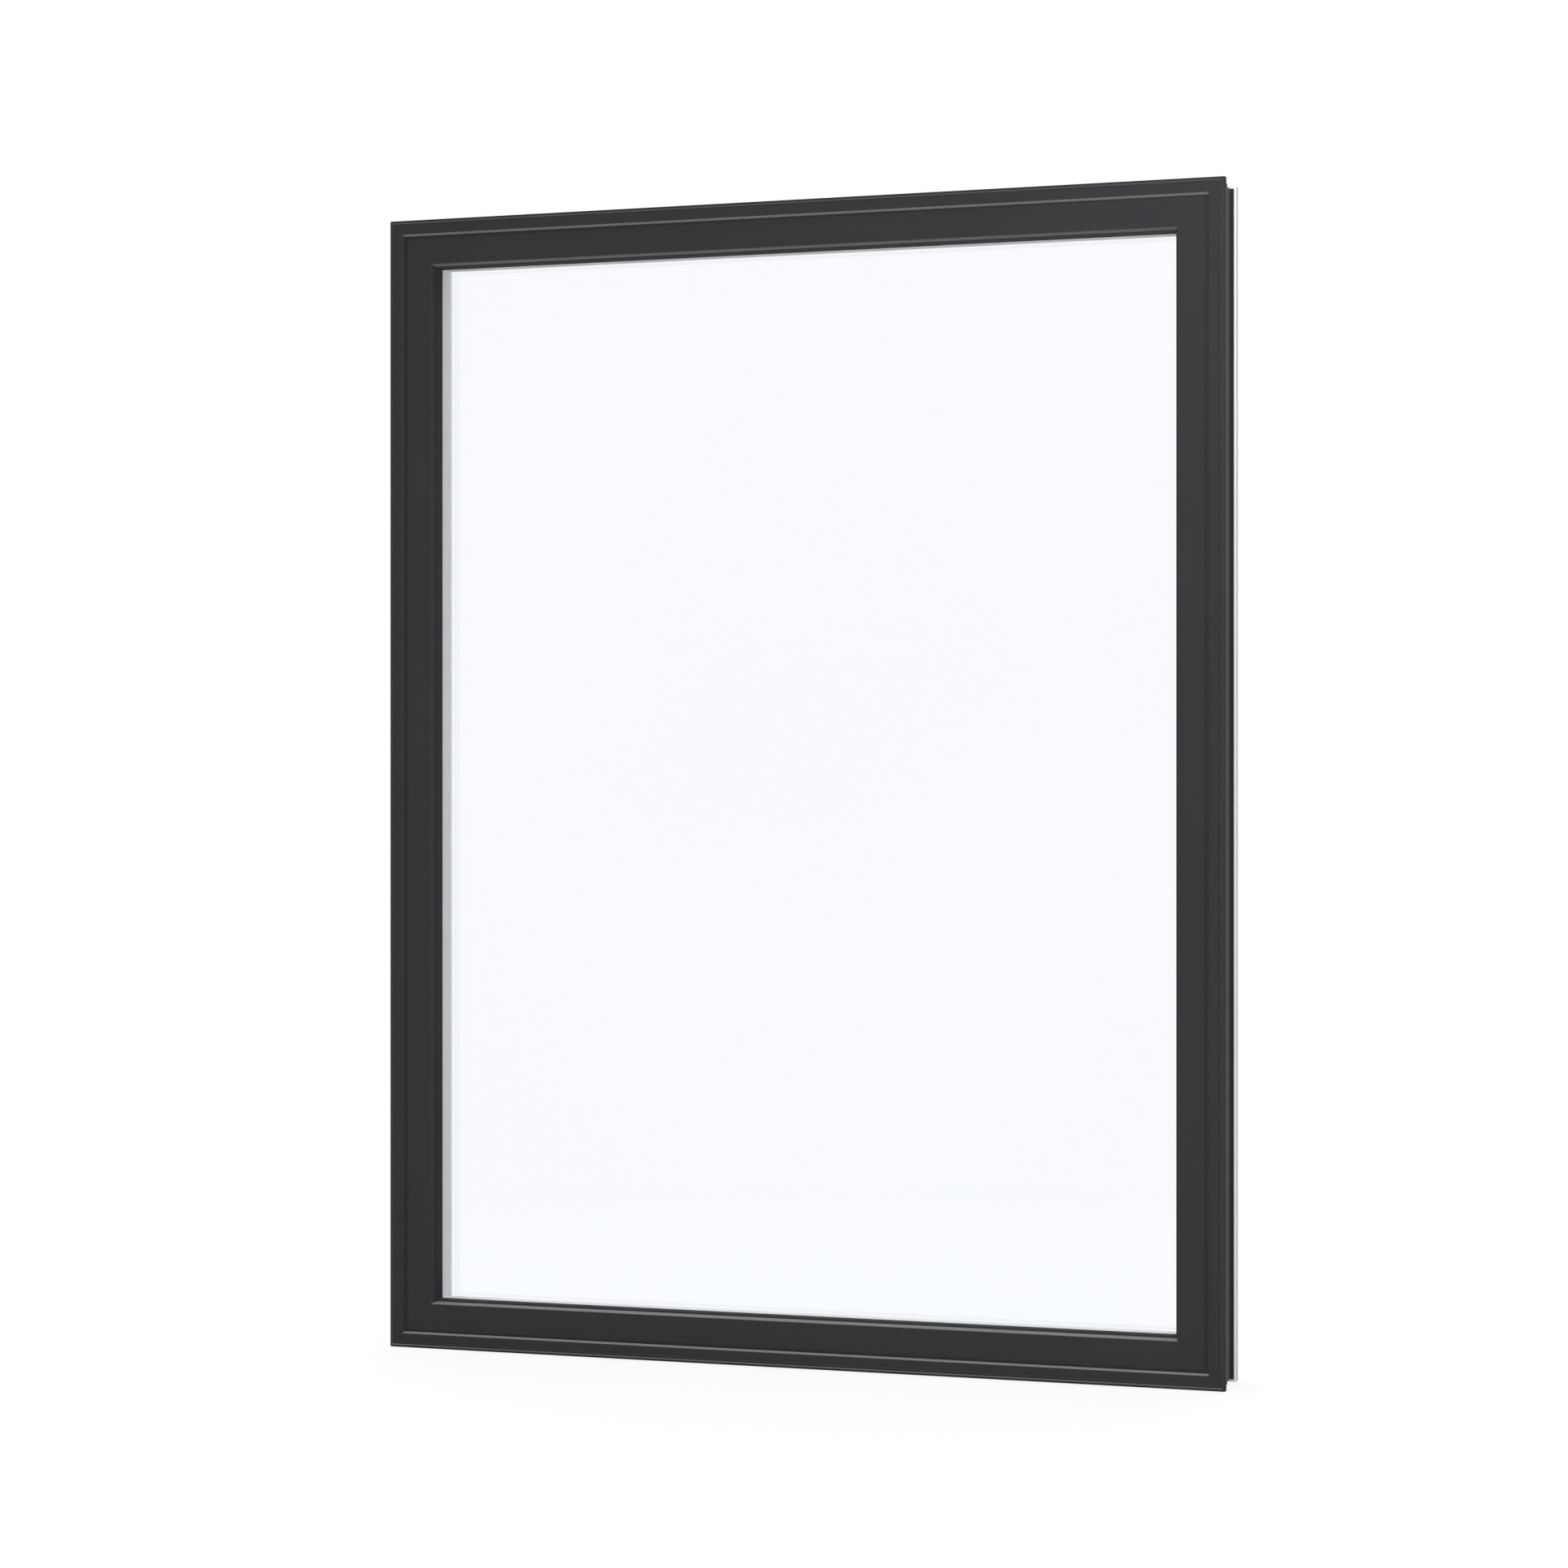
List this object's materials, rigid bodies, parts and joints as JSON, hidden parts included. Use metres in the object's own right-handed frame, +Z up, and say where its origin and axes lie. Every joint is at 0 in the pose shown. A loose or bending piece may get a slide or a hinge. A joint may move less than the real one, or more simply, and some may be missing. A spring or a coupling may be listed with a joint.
{
  "type": "fixed picture window",
  "caption": "Fixed picture window with a dark outside frame and fixed sash, a sealed clear double pane and a white inner lining, set upright in a wall opening.",
  "frame": {"origin": "on the sill's flat underside, at the middle of its length and of the pad that stands on the packers", "axes": "+X to the right as seen from outside, +Y into the building, +Z up"},
  "size_m": [0.914, 0.0746, 1.219],
  "materials": {
    "dark_frame": "satin dark charcoal coating",
    "dark_bead": "matte black",
    "gasket": "matte",
    "spacer": "matte pale grey",
    "white_inside": "smooth satin white",
    "clear_glass": "polished clear",
    "setting_block": "matte"
  },
  "bodies": {
    "root": {"frame_sill": "dark_frame", "frame_head": "dark_frame", "frame_left_jamb": "dark_frame", "frame_right_jamb": "dark_frame", "sash_bottom_rail": "dark_frame", "sash_top_rail": "dark_frame", "sash_left_stile": "dark_frame", "sash_right_stile": "dark_frame", "glazing_bead_bottom": "dark_bead", "outer_gasket_bottom": "gasket", "inner_gasket_bottom": "gasket", "spacer_bar_bottom": "spacer", "inner_stop_bottom": "white_inside", "glazing_bead_top": "dark_bead", "outer_gasket_top": "gasket", "inner_gasket_top": "gasket", "spacer_bar_top": "spacer", "inner_stop_top": "white_inside", "glazing_bead_left": "dark_bead", "outer_gasket_left": "gasket", "inner_gasket_left": "gasket", "spacer_bar_left": "spacer", "inner_stop_left": "white_inside", "glazing_bead_right": "dark_bead", "outer_gasket_right": "gasket", "inner_gasket_right": "gasket", "spacer_bar_right": "spacer", "inner_stop_right": "white_inside", "lining_sill": "white_inside", "lining_head": "white_inside", "lining_left_jamb": "white_inside", "lining_right_jamb": "white_inside", "outer_pane": "clear_glass", "inner_pane": "clear_glass", "setting_block_left": "setting_block", "setting_block_right": "setting_block"}
  },
  "joints": []
}
